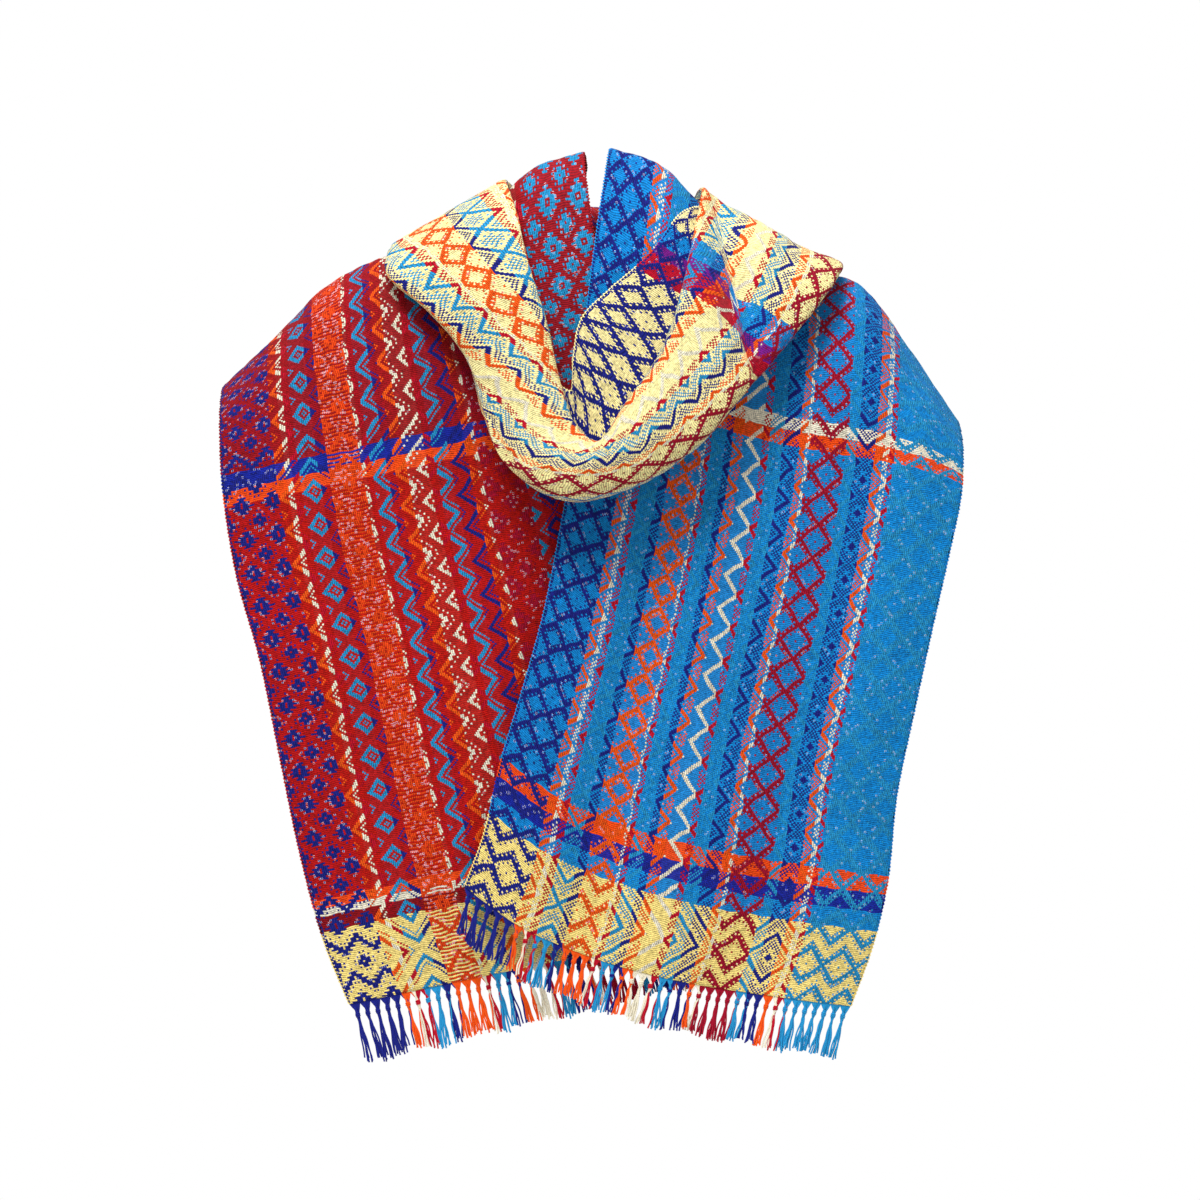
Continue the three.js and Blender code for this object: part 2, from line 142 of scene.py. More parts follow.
# Largest folds, seen from the front: [x, z] of both ends, half width, depth
COWL_FOLDS = [[[77, 32], [98, -66], 11, 10], [[-58, -84], [-53, -136], 9, 4],
              [[-68, -50], [-72, 6], 12, -4]]
PANEL_FOLDS = [[[-150, -60], [-120, -330], 22, 3.5], [[120, -40], [70, -300], 20, 4],
               [[190, -130], [150, -380], 18, -3]]

# First and last station of each stretch of the strip
STRETCHES = {"red_end": (0, 10), "red_back_band": (10, 18), "cowl": (18, 32),
             "blue_back_band": (32, 38), "blue_end": (38, 49)}

# Soft creases laid in one by one: [u, v] of both ends in millimetres of cloth, half width, depth.
# u is counted from the navy selvedge. v is counted from the stretch's own hem on the ends, and from
# its first station elsewhere.
CREASES = {
    "red_end": [[(60, 40), (78, 250), 16, 1.5], [(24, 120), (40, 300), 10, -1.0],
                [(150, 20), (132, 190), 14, 1.3], [(205, 150), (196, 330), 13, -1.4],
                [(96, 300), (130, 430), 12, 1.4], [(36, 330), (70, 455), 11, 1.1],
                [(180, 330), (215, 440), 12, 1.6], [(8, 60), (16, 200), 8, 1.0],
                [(235, 30), (226, 120), 9, 1.2], [(110, 60), (118, 170), 9, -0.9]],
    "blue_end": [[(50, 30), (66, 230), 15, 1.5], [(120, 60), (104, 260), 12, -1.2],
                 [(170, 20), (188, 210), 15, 1.6], [(222, 80), (214, 330), 12, 1.3],
                 [(84, 260), (112, 400), 12, 1.5], [(150, 280), (176, 430), 13, -1.4],
                 [(20, 210), (34, 360), 10, 1.2], [(238, 20), (244, 150), 8, -1.1],
                 [(198, 330), (226, 440), 11, 1.4], [(136, 130), (146, 250), 9, 1.0]],
    "cowl": [[(110, 70), (128, 190), 9, 1.8], [(84, 130), (96, 260), 8, -1.2],
             [(148, 90), (138, 200), 8, 1.5], [(100, 230), (122, 330), 9, 1.6],
             [(160, 260), (150, 360), 9, -1.3], [(76, 20), (104, 92), 8, 1.5],
             [(150, 10), (130, 80), 9, 1.7], [(30, 120), (44, 250), 9, 1.2],
             [(214, 80), (206, 240), 9, 1.3], [(176, 10), (170, 120), 8, -1.0]],
    "red_back_band": [[(60, 10), (86, 120), 12, 1.6], [(160, 30), (140, 150), 11, 1.4],
                      [(110, 90), (120, 210), 10, -1.3], [(200, 20), (214, 130), 10, 1.4]],
    "blue_back_band": [[(50, 10), (72, 150), 11, 1.8], [(118, 30), (104, 190), 10, -1.6],
                       [(176, 10), (190, 160), 12, 1.9], [(222, 60), (208, 220), 10, 1.4],
                       [(84, 120), (96, 250), 9, 1.2]],
}


# ---------------------------------------------------------------- the strip's form
def unit(vectors):
    length = np.linalg.norm(vectors, axis=-1, keepdims=True)
    return vectors / np.where(length < 1e-9, 1, length)


def lerp(a, b, share):
    a, b, share = np.asarray(a, float), np.asarray(b, float), np.asarray(share, float)
    return a + (b - a) * share[..., None]


SHARES = np.linspace(0, 1, LINES)


def panel_stations(rows, shoulder, ridge_row, hem_sag):
    """Rows of an end panel: eight points spread evenly between the selvedges."""
    stations = []
    ridge = lerp(*rows[ridge_row][:2], SHARES)
    rise = np.interp(abs(ridge[:, 0]), *zip(*shoulder)) - ridge[:, 2]
    for i, (navy, turquoise, bow, follow, wave) in enumerate(rows):
        points = lerp(navy, turquoise, SHARES)
        points[:, 2] += follow * rise
        points[:, 1] -= (bow * 4 * SHARES * (1 - SHARES)
                         + wave * np.sin(PANEL_HALF_WAVES * np.pi * SHARES))
        sag = hem_sag * (1 - i / SAGGING_ROWS) if i < SAGGING_ROWS else 0
        points[:, 2] -= sag * np.sin(np.pi * SHARES ** (math.log(0.5) / math.log(HEM_SAG_AT)))
        stations.append(points)
    return stations


def cowl_stations():
    """Rows of the cowl, with both selvedges turned behind the face between the folds."""
    stations = []
    middles = [lerp(row[0], row[1], 0.5) for row in COWL]
    for i, (crest, edge, navy, bulge, tuck, under, dip_in, dip) in enumerate(COWL):
        along = unit(middles[min(i + 1, len(COWL) - 1)] - middles[max(i - 1, 0)])
        crest, edge = np.array(crest, float), np.array(edge, float)
        out = unit(np.cross(along, crest - edge))
        inward = unit(np.array([-out[0], -out[1], -out[2] * abs(out[2])]))
        stations.append(np.array([
            navy,
            lerp(crest, edge, dip_in) + inward * dip,
            crest,
            lerp(crest, edge, 1 / 3) + out * bulge,
            lerp(crest, edge, 2 / 3) + out * bulge,
            edge,
            lerp(crest, edge, 1 - tuck * 0.1) + inward * under,
            lerp(crest, edge, 1 - tuck) + inward * (under + 1),
        ]))
    return stations


def band_station(row):
    """One row of a back band, spread between its selvedges or rolled nearly shut."""
    if len(row) == 4:
        navy, turquoise, bow, gather = row
        points = lerp(navy, turquoise, SHARES)
        points[:, 1] += bow * 4 * SHARES * (1 - SHARES)
        points[:, 1] += gather * np.sin(GATHERS * 2 * np.pi * SHARES)
        return points
    middle, radius, turn = row
    angle = np.radians(turn + ROLL_ARC * (SHARES - 0.5))
    return np.array(middle) + radius * np.stack([0 * angle, np.cos(angle), np.sin(angle)], 1)


def smooth_line(points, steps):
    """A centripetal Catmull-Rom line through points, with steps samples between each two."""
    ends = np.concatenate([[2 * points[0] - points[1]], points, [2 * points[-1] - points[-2]]])
    t = (np.arange(steps) / steps).reshape(-1, *[1] * (points.ndim - 1))
    samples = []
    for a, b, c, d in zip(ends, ends[1:], ends[2:], ends[3:]):
        before, here, after = (
            np.sqrt(np.linalg.norm(q - p, axis=-1, keepdims=True))
            for p, q in ((a, b), (b, c), (c, d)))
        here = np.where(here < 1e-4, 1, here)
        before = np.where(before < 1e-4, here, before)
        after = np.where(after < 1e-4, here, after)
        start = ((b - a) / before - (c - a) / (before + here) + (c - b) / here) * here
        end = ((c - b) / here - (d - b) / (here + after) + (d - c) / after) * here
        samples.append(b + start * t + (3 * (c - b) - 2 * start - end) * t ** 2
                       + (2 * (b - c) + start + end) * t ** 3)
    return np.concatenate([*samples, points[-1:]])


def between(values, steps):
    """Values at the stations or lines, spread evenly over the samples between them."""
    at = np.arange((len(values) - 1) * steps + 1) / steps
    return np.array([np.interp(at, np.arange(len(values)), column) for column in values.T]).T


def cloth_across():
    """How far each line lies from the navy selvedge, in millimetres of cloth, at each station."""
    even = SHARES * WIDTH
    level_before, level_after = 16, 14
    rows = []
    for points, shown in zip(cowl_stations(), COWL_ACROSS):
        gaps = np.linalg.norm(np.diff(points, axis=0), axis=1)
        behind = shown[-1] + (WIDTH - shown[-1]) * gaps[5] / (gaps[5] + gaps[6])
        rows.append(np.array([0, *shown, behind, WIDTH]))
    before = [lerp(even, rows[-1], share) for share in (0.3, 0.7)]
    after = [lerp(rows[0], even, share) for share in (0.25, 0.55, 0.85)]
    return np.array([even] * level_before + before + rows[::-1] + after + [even] * level_after)


def ease(x):
    x = np.clip(x, 0, 1)
    return x * x * (3 - 2 * x)


RED_RIDGE_ROW = 9
BLUE_RIDGE_ROW = 10
stations = np.array(
    panel_stations(RED_PANEL, RED_SHOULDER, RED_RIDGE_ROW, 0)
    + [band_station(row) for row in RED_BAND] + cowl_stations()[::-1]
    + [band_station(row) for row in BLUE_BAND]
    + panel_stations(BLUE_PANEL, BLUE_SHOULDER, BLUE_RIDGE_ROW, HEM_SAG)[::-1])
lines = smooth_line(stations.transpose(1, 0, 2), ACROSS).transpose(1, 0, 2)
strip = smooth_line(lines, ROWS)
station_of = np.arange(len(strip)) / ROWS
across = between(between(cloth_across(), ROWS).T, ACROSS).T

# Distance along the cloth: by each warp yarn near the hems, by the whole row round the neck
steps = np.linalg.norm(np.diff(strip, axis=0), axis=2)
by_yarn = np.vstack([np.zeros(strip.shape[1]), np.cumsum(steps, axis=0)])
by_row = np.concatenate([[0], np.cumsum(steps.mean(axis=1))])
LENGTH = by_row[-1]
RED_YARNS_TO, RED_EASE = 10, 4
BLUE_YARNS_FROM, BLUE_EASE = 38.5, 4.5
red_share = ease((RED_YARNS_TO - station_of) / RED_EASE)[:, None]
blue_share = ease((station_of - BLUE_YARNS_FROM) / BLUE_EASE)[:, None]
along = by_row[:, None] + red_share * (by_yarn - by_row[:, None])
along = along + blue_share * ((LENGTH - (by_yarn[-1] - by_yarn)) - by_row[:, None])

# ---------------------------------------------------------------- the draft: yarns and picks
YARNS = 219
WARP_PITCH = WIDTH / YARNS
HALF_REPEAT = 9
SHAFTS = 12
# Runs where the treadling goes on past its usual turn: first pick, picks, which way it goes
HEM_RUNS = [(9, 12, 1), (30, 12, -1), (51, 12, 1)]
RED_RUNS = HEM_RUNS + [(279, 24, 1)]
BLUE_RUNS = HEM_RUNS + [(297, 24, 1)]
EXTRA = sum(n for _, n, _ in RED_RUNS + BLUE_RUNS)
REPEAT = 2 * HALF_REPEAT
PICKS = REPEAT * round((LENGTH / WARP_PITCH - EXTRA) / REPEAT) + EXTRA
PICK_PITCH = LENGTH / PICKS
RUNS = RED_RUNS + [(PICKS - first - n, n, -way) for first, n, way in reversed(BLUE_RUNS)]
# Yarns at which the threading turns, from the navy selvedge. It goes up first, then down.
TURNS = [0, 8, 16, 24, 28, 46, 56, 64, 72, 106, 109, 135, 144, 153, 165, 177, 186, 195, 204, 213,
         219]


def threading():
    """The turns, and the shaft at each of them."""
    shafts = [0]
    for i, (a, b) in enumerate(zip(TURNS, TURNS[1:])):
        shafts.append(shafts[-1] + (b - a) * (1 if i % 2 == 0 else -1))
    return TURNS, shafts


THREADING = threading()


def treadling(pick):
    """The treadle of a pick: up and down by half a repeat, and on past the turn in the runs."""
    beyond = [(np.clip(pick - first, 0, n), way) for first, n, way in RUNS]
    base = pick - sum(m for m, _ in beyond)
    return HALF_REPEAT - abs(base % REPEAT - HALF_REPEAT) + sum(m * w for m, w in beyond)


# ---------------------------------------------------------------- dyes
def dye(red, green, blue):
    """A dyed yarn's colour, from the usual 0 to 255 scale to the linear one of the shaders."""
    def linear(c):
        c /= 255
        return c / 12.92 if c <= 0.04045 else ((c + 0.055) / 1.055) ** 2.4
    return linear(red), linear(green), linear(blue)


NAVY = dye(26, 34, 130)
ORANGE = dye(242, 88, 18)
CREAM = dye(238, 230, 206)
CRIMSON = dye(190, 12, 40)
MAROON = dye(166, 12, 44)
TURQUOISE = dye(38, 148, 204)
YELLOW = dye(254, 228, 134)
PRIMROSE = dye(255, 240, 168)
WINE = dye(140, 8, 16)
SCARLET = dye(186, 16, 8)
ROSE_RED = dye(158, 12, 22)
SKY = dye(10, 134, 212)
PURPLE = dye(118, 24, 132)
FLAME = dye(246, 76, 12)
EMBER = dye(226, 40, 14)
ULTRAMARINE = dye(22, 38, 156)

# Warp stripes: first millimetre from the navy selvedge, dye, and how the warp shows. 1 is richly,
# 0.9 richly and over every second pick of the other side, 0.5 in single lines, 0 plainly
WARP_STRIPES = [
    (0, NAVY, 1), (32, ORANGE, 0), (38, CREAM, 0), (41, CRIMSON, 0), (46, TURQUOISE, 0),
    (57, NAVY, 0), (63, ORANGE, 0.9), (82, CREAM, 0), (84, CRIMSON, 0), (88, TURQUOISE, 0),
    (97, NAVY, 0), (102, ORANGE, 0), (109, CREAM, 0.5), (121, CRIMSON, 0), (126, TURQUOISE, 0),
    (135, NAVY, 0), (145, ORANGE, 0), (149, CREAM, 0), (152, MAROON, 1), (176, TURQUOISE, 0),
    (183, NAVY, 0), (194, ORANGE, 0), (200, CREAM, 0), (203, CRIMSON, 0), (207, TURQUOISE, 1)]

# Where the strip comes over the shoulder into the cowl
RIDGE = by_row[(STRETCHES["cowl"][0] + 1) * ROWS]
# Weft bands: first millimetre from the red hem, dye
WEFT_BANDS = [
    (0, YELLOW), (47, WINE), (56.5, CREAM), (61, FLAME), (66, SCARLET), (312, FLAME),
    (321, ULTRAMARINE), (331, ROSE_RED), (RIDGE - 62, PRIMROSE), (RIDGE + 55, SKY),
    (RIDGE + 71, PURPLE), (RIDGE + 79, CRIMSON), (RIDGE + 95, PRIMROSE),
    (LENGTH - 520, SKY), (LENGTH - 350, CREAM), (LENGTH - 342, FLAME), (LENGTH - 333, SKY),
    (LENGTH - 82, FLAME), (LENGTH - 71, ULTRAMARINE), (LENGTH - 60, SKY), (LENGTH - 48, YELLOW)]


def warp_dye(u):
    return [colour for at, colour, _ in WARP_STRIPES if at <= max(u, 0)][-1]


def weft_dye(v):
    return [colour for at, colour in WEFT_BANDS if at <= max(v, 0)][-1]


# ---------------------------------------------------------------- shader sums
def node(tree, kind, settings=None, values=None, out=0):
    """Adds a node: its settings and ramp stops first, then the values or links of its sockets."""
    made = tree.nodes.new(kind)
    for name, value in (settings or {}).items():
        if name != "stops":
            setattr(made, name, value)
            continue
        ramp = made.color_ramp
        ramp.interpolation = value[0]
        first, *rest, last = value[1]
        for element, (at, colour) in zip(ramp.elements, (first, last)):
            element.position, element.color = at, colour
        for at, colour in rest:
            ramp.elements.new(at).color = colour
    for name, value in (values or {}).items():
        if isinstance(value, Sum):
            value = value.socket
        if isinstance(value, bpy.types.NodeSocket):
            tree.links.new(value, made.inputs[name])
        else:
            made.inputs[name].default_value = value
    return Sum(made.outputs[out])


class Sum:
    """A socket that takes part in sums. Each sum adds a Math node."""

    def __init__(self, socket):
        self.socket = socket

    @property
    def tree(self):
        return self.socket.id_data

    def math(self, operation, *others):
        values = dict(enumerate((self, *others)))
        return node(self.tree, "ShaderNodeMath", {"operation": operation}, values)

    def part(self, index):
        """One number of a vector, or one output of the same node."""
        return Sum(self.socket.node.outputs[index])

    def __add__(self, other):
        return self.math("ADD", other)

    def __mul__(self, other):
        return self.math("MULTIPLY", other)

    def __sub__(self, other):
        return self.math("SUBTRACT", other)

    def __rsub__(self, other):
        return node(self.tree, "ShaderNodeMath", {"operation": "SUBTRACT"}, {0: other, 1: self})

    def __mod__(self, other):
        return self.math("FLOORED_MODULO", other)

    def __gt__(self, other):
        return self.math("GREATER_THAN", other)

    def __lt__(self, other):
        return self.math("LESS_THAN", other)

    def floor(self):
        return self.math("FLOOR")

    def within(self, low, high):
        return self.math("MAXIMUM", low).math("MINIMUM", high)

    __radd__ = __add__
    __rmul__ = __mul__


def blend(tree, share, a, b, how="MIX"):
    """A Mix node on two colours."""
    factor, first, second = 0, 6, 7
    return node(tree, "ShaderNodeMix", {"data_type": "RGBA", "blend_type": how},
                {factor: share, first: (*a, 1) if isinstance(a, tuple) else a,
                 second: (*b, 1) if isinstance(b, tuple) else b}, out=2)


def toned(tree, colour, tone):
    """A colour made lighter or darker by a number."""
    shade = node(tree, "ShaderNodeCombineColor", {}, {0: tone, 1: tone, 2: tone})
    return blend(tree, 1.0, colour, shade, "MULTIPLY")


# A ramp holds this many yarns or picks, and the next one starts a little before it ends
RAMP_SPAN = 255
RAMP_STEP = 250


def stripes(index, changes):
    """A ramp that changes sharply at whole yarns or picks. changes are [first one, colour]."""
    stops = [(max(first - 0.5, 0) / RAMP_SPAN, colour) for first, colour in changes]
    if len(stops) == 1:
        stops.append((1, stops[0][1]))
    return node(index.tree, "ShaderNodeValToRGB", {"stops": ("CONSTANT", stops)},
                {0: (index + 0.5) * (1 / RAMP_SPAN)})


def weft_colour(pick, first, last):
    """The weft's colour between two picks. A long stretch needs more than one ramp."""
    changes = [(round(at / PICK_PITCH), (*colour, 1)) for at, colour in WEFT_BANDS]

    def ramp(low):
        inside = [(0, [c for at, c in changes if at <= max(low, 0)][-1])]
        inside += [(at - low, c) for at, c in changes if low < at < low + RAMP_SPAN]
        return stripes(pick - low, inside)

    low = first
    colour = ramp(low)
    while low + RAMP_SPAN < last:
        low += RAMP_STEP
        colour = blend(pick.tree, pick > low - 0.5, colour, ramp(low))
    return colour


def noise(tree, place, scale, detail, roughness=0.5):
    return node(tree, "ShaderNodeTexNoise", {},
                {"Vector": place, "Scale": scale, "Detail": detail, "Roughness": roughness})


def matt(material, colour, rough, normal, specular, sheen):
    """Finishes a yarn's shader: matt, with a trace of sheen."""
    principled = material.node_tree.nodes["Principled BSDF"]
    for name, value in (("Specular IOR Level", specular), ("Sheen Weight", sheen),
                        ("Sheen Roughness", 0.5)):
        principled.inputs[name].default_value = value
    for name, value in (("Base Color", colour), ("Roughness", rough), ("Normal", normal)):
        material.node_tree.links.new(value.socket, principled.inputs[name])


# Where the warp comes up, by the twelve steps between a warp yarn's shaft and a pick's treadle, for
# plain and rich stripes on the first side of the cloth, and the same on its other side: # on every
# pick, + on every second one
WARP_UP = ["###..+.#.#..", "##+#.....+.#", "....###..#..", "..++###+.+.."]
SPARE_PICKS = 12
SHAFT_SCALE = 80
# Painted light: the pale of the white backdrop shining through gaps in the weave
PAINTED_BACKLIGHT = dye(226, 226, 244)


def woven(stretch):
    """The cloth's weave: coloured warp stripes and weft bands, yarn over yarn."""
    first, last = (int(round(float(along[s * ROWS].mean()) / PICK_PITCH))
                   for s in STRETCHES[stretch])
    first, last = max(first - SPARE_PICKS, 0), min(last + SPARE_PICKS, PICKS)
    material = bpy.data.materials.new(stretch + "_weave")
    material.use_nodes = True
    tree = material.node_tree
    place = node(tree, "ShaderNodeAttribute", {"attribute_name": "cloth"}, out=1)
    at_yarn = node(tree, "ShaderNodeSeparateXYZ", {}, {0: place})
    at_pick, side = at_yarn.part(1), at_yarn.part(2)
    object_place = node(tree, "ShaderNodeTexCoord", {}, out=3)
    yarn = at_yarn.within(0.01, YARNS - 0.01).floor()
    pick = at_pick.floor()
    across_yarn = (at_yarn - yarn) * 2 - 1
    across_pick = (at_pick - pick) * 2 - 1

    # Threading and treadling
    shafts = node(tree, "ShaderNodeValToRGB", {"stops": ("LINEAR", [
        (i / RAMP_SPAN, (*[s / SHAFT_SCALE] * 3, 1)) for i, s in zip(*THREADING)])},
        {0: yarn * (1 / RAMP_SPAN)})
    shaft = (shafts * SHAFT_SCALE + 0.5).floor()
    base, extra = pick, 0
    for run_first, n, way in RUNS:
        if run_first >= last:
            continue
        beyond = n if run_first + n <= first else (pick - run_first).within(0, n)
        base = base - beyond
        extra = beyond * way + extra
    treadle = base.math("PINGPONG", HALF_REPEAT) + extra
    step = (shaft - treadle + 0.01).floor() % SHAFTS

    # Which of the two yarns is on top
    lifts = [(k / SHAFTS, tuple(".+#".index(up[k]) / 2 for up in WARP_UP)) for k in range(SHAFTS)]
    lift = node(tree, "ShaderNodeValToRGB", {"stops": ("CONSTANT", lifts)},
                {0: (step + 0.5) * (1 / SHAFTS)})
    lift_parts = node(tree, "ShaderNodeSeparateColor", {}, {0: lift})
    warp_colour = stripes(yarn, [(round(at / WARP_PITCH), (*colour, float(rich)))
                                 for at, colour, rich in WARP_STRIPES])
    richness = warp_colour.part(1)
    rich = richness > 0.7
    flooded = rich * (richness < 0.95)
    lined = (richness > 0.3) * (1 - rich)
    sparse = lined * (step > 4.5)
    dotted = lined * (step > 5.5)
    first_side = lift_parts + rich * (lift_parts.part(1) - lift_parts)
    other_side = lift_parts.part(2) + rich * (lift.part(1) - lift_parts.part(2))
    other_side = other_side.math("MAXIMUM", flooded * 0.5) * (1 - dotted * 0.5)
    first_side = first_side * (1 - sparse)
    raised = other_side + (side > 0.5) * (first_side - other_side)
    up = (raised > pick % 2 * 0.5 + 0.25).math("MAXIMUM", yarn < 0.5)

    # Rounded yarns: the warp one runs along the strip, the weft one across it. They shape the bump,
    # and the painted shade below
    warp_form = 1 - across_yarn * across_yarn * 0.85 - across_pick * across_pick * 0.3
    weft_form = 1 - across_pick * across_pick * 0.85 - across_yarn * across_yarn * 0.12
    form = weft_form + up * (warp_form - weft_form)

    # Uneven spinning, pick by pick and yarn by yarn, and soft wear over the cloth
    pick_tone = node(tree, "ShaderNodeTexWhiteNoise", {"noise_dimensions": "1D"}, {1: pick})
    yarn_tone = node(tree, "ShaderNodeTexWhiteNoise", {"noise_dimensions": "1D"}, {1: yarn + 900})
    spot = node(tree, "ShaderNodeCombineXYZ", {}, {0: yarn, 1: pick, 2: side})
    spot_tone = node(tree, "ShaderNodeTexWhiteNoise", {"noise_dimensions": "3D"}, {0: spot})
    fibre = noise(tree, object_place, 620.0, 2.0, 0.7)
    wear = noise(tree, object_place, 16.0, 3.0, 0.55)

    # Warp shows a little between the picks, and a flooded stripe looks deeper on the other side
    weft = weft_colour(pick, first, last)
    low = (1 - form).within(0, 1)
    sunk = flooded * (side < 0.5) * 0.5
    colour = blend(tree, up, blend(tree, low * 0.06, weft, warp_colour),
                   blend(tree, sunk, warp_colour, EMBER))
    # Painted shade: the colour darkens towards the sides of each rounded yarn, under uneven
    # spinning, fibre grain and soft wear
    tone = form * 0.72 + (pick_tone + yarn_tone) * 0.06 + spot_tone * 0.2 + fibre * 1.3 - 0.52
    tone = tone.within(0.08, 1.6) * (0.84 + wear * 0.32)
    colour = toned(tree, colour, tone)

    # Where single yarns cross, some gaps between them are painted pale: painted light from the
    # white backdrop shining through the weave
    crossing = (raised > 0.3) * (raised < 0.7)
    backlit_gap = (form < 0.6) * crossing * (spot_tone > 0.84)
    colour = blend(tree, backlit_gap * 0.8, colour, PAINTED_BACKLIGHT)
    bump = node(tree, "ShaderNodeBump", {}, {"Strength": 0.55, "Distance": 0.0006,
                                             "Height": form + spot_tone * 0.15})
    matt(material, colour, 0.86 - form * 0.08, bump, 0.1, 0.03)
    return material


def spun(name):
    """Loose plied yarn in its own dye."""
    material = bpy.data.materials.new(name)
    material.use_nodes = True
    tree = material.node_tree
    colour = node(tree, "ShaderNodeAttribute", {"attribute_name": "dye"})
    place = node(tree, "ShaderNodeTexCoord", {}, out=3)
    fibre = noise(tree, place, 900.0, 2.0)
    strand = noise(tree, place, 160.0, 1.0)
    colour = toned(tree, colour, 0.80 + fibre * 0.2 + strand * 0.2)
    bump = node(tree, "ShaderNodeBump", {}, {"Strength": 0.5, "Distance": 0.0003, "Height": fibre})
    matt(material, colour, 0.9 - fibre * 0.1, bump, 0.12, 0.04)
    return material


# ---------------------------------------------------------------- cloth
VALLEY_CLOTH = 22
WEAVE_RELIEF = 0.24
SEAM_ROWS = 6
RIM_ROUND = 0.55


def grid_normals(grid):
    down = np.gradient(grid, axis=0)
    sideways = np.gradient(grid, axis=1)
    return unit(np.cross(down, sideways))


def trough(spot, start, end, half):
    """How deep a soft fold is at each spot, fading towards its ends and sides."""
    start, run = np.array(start, float), np.subtract(end, start)
    reach = np.clip((spot - start) @ run / (run @ run), 0, 1)
    aside = np.linalg.norm(spot - start - reach[..., None] * run, axis=-1)
    return np.sin(np.pi * (0.12 + 0.76 * reach)) * np.exp(-(aside / half) ** 2)


def shoulder_valley(front, low):
    """How much cloth the valley beside the cowl's roll swallows, towards the blue shoulder."""
    start, end = COWL_FOLDS[0][:2]
    station = ((low + np.arange(len(front))) / ROWS)[:, None]
    start, run = np.array(start, float), np.subtract(end, start)
    beside = unit(np.array([-run[1], run[0]]))
    beyond = ease((front - start) @ beside / 5 + 0.5)
    return VALLEY_CLOTH * beyond * ease((station - 18) / 2.2) * ease((27 - station) / 3)


def cloth_grid(name):
    """A stretch's middle surface with its folds and creases, its normals, and where it lies on
    the strip."""
    low, high = (s * ROWS for s in STRETCHES[name])
    wide = slice(max(low - 2, 0), min(high + 2, len(strip) - 1) + 1)
    inner = slice(low - wide.start, low - wide.start + high - low + 1)
    normals = grid_normals(strip[wide])[inner]
    grid = strip[low:high + 1].copy()
    u, v = across[low:high + 1], along[low:high + 1]
    front = grid[..., [0, 2]].copy()
    folds = {"red_end": (PANEL_FOLDS, -1), "blue_end": (PANEL_FOLDS, 1), "cowl": (COWL_FOLDS, 1)}
    for start, end, half, deep in folds.get(name, ([], 1))[0]:
        deep_at = deep * trough(front, start, end, half)
        if name == "cowl":
            line = np.arange(grid.shape[1]) / ACROSS
            deep_at[:, (line < CREST_LINE) | (line > EDGE_LINE)] = 0
        grid -= normals * (folds[name][1] * deep_at)[..., None]
    if name == "cowl":
        v = v - shoulder_valley(front, low)
    local = LENGTH - v if name == "blue_end" else v - v[0].mean() * (name != "red_end")
    for start, end, half, deep in CREASES[name]:
        depth = deep * trough(np.stack([u, local], -1), start, end, half)
        grid -= normals * depth[..., None]
    # The weave draws the cloth in a little between its diamonds
    shaft = np.interp(u / WARP_PITCH, *THREADING)
    repeat = 2 * np.pi * (shaft - treadling(v / PICK_PITCH)) / SHAFTS
    seam = np.minimum(np.arange(len(grid)), np.arange(len(grid))[::-1])[:, None] / SEAM_ROWS
    grid += normals * (WEAVE_RELIEF * np.cos(repeat) * np.clip(seam, 0, 1))[..., None]
    for row, after in ((0, 1), (-1, -2)):
        grid[row] += unit(grid[after] - grid[row]) * SEAM_GAP / 2
    return grid, normals, u, v


def sway(a, b):
    """How far a yarn strays from its straight line, in yarns."""
    slow = (0.32 * np.sin(a * 0.33 + 2.1 * np.sin(b * 0.041))
            * np.sin(b * 0.23 + 1.7 * np.sin(a * 0.05)))
    return slow + 0.24 * np.sin(b * 0.61 + 1.3 * np.sin(a * 0.19))


def show(name, data):
    made = bpy.data.objects.new(name, data)
    bpy.context.collection.objects.link(made)
    return made


def in_metres(name, points, edges, faces, label, kind, values):
    """A mesh from points in millimetres, with one named attribute on its points."""
    mesh = bpy.data.meshes.new(name)
    mesh.from_pydata((np.asarray(points) / MM_IN_METRE).tolist(), edges, faces)
    layer = mesh.attributes.new(label, kind, "POINT")
    layer.data.foreach_set("vector" if kind == "FLOAT_VECTOR" else "color",
                           np.asarray(values, np.float32).ravel())
    return mesh


